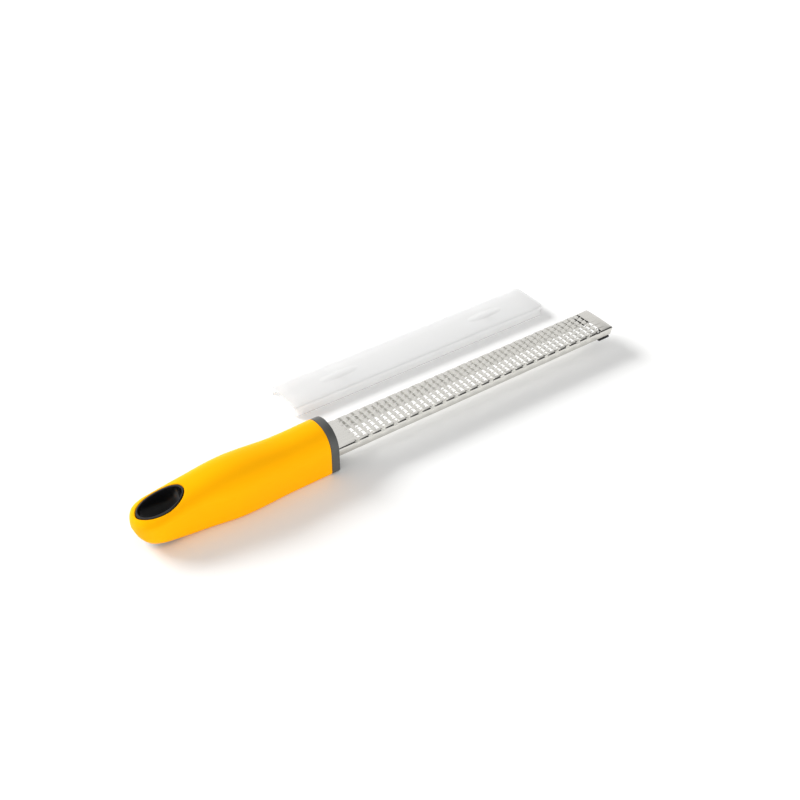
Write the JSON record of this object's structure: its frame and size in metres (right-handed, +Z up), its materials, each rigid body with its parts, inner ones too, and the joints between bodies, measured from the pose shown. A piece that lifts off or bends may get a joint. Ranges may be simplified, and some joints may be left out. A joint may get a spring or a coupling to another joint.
{
  "type": "rasp grater with blade cover",
  "caption": "Long narrow rasp grater: toothed steel blade with folded edges in a soft handle with a hanging hole, and a translucent blade cover lying beside it.",
  "frame": {"origin": "on the table, on the flat underside of the handle, under the middle of the palm swell", "axes": "+X along the tool from handle to tip, +Y across towards the cover lying beside it, +Z up from the table"},
  "size_m": [0.325, 0.086, 0.0288],
  "materials": {
    "stainless_blade": "bright rolled stainless sheet, etched teeth",
    "foot_rubber": "matt",
    "collar_plastic": "satin moulded",
    "core_plastic": "moulded",
    "grip_rubber": "satin soft touch",
    "liner_plastic": "gloss moulded",
    "cover_plastic": "frosted translucent"
  },
  "bodies": {
    "grater": {"grater_blade": "stainless_blade", "tip_foot": "foot_rubber", "collar": "collar_plastic", "handle_core": "core_plastic", "grip": "grip_rubber", "hang_hole_liner": "liner_plastic"},
    "cover": {"blade_cover": "cover_plastic"}
  },
  "joints": [
    {"name": "cover_lift", "type": "slide", "parent": "grater", "child": "cover", "axis": [0, 0, 1], "range_m": [0, 0.06]}
  ]
}
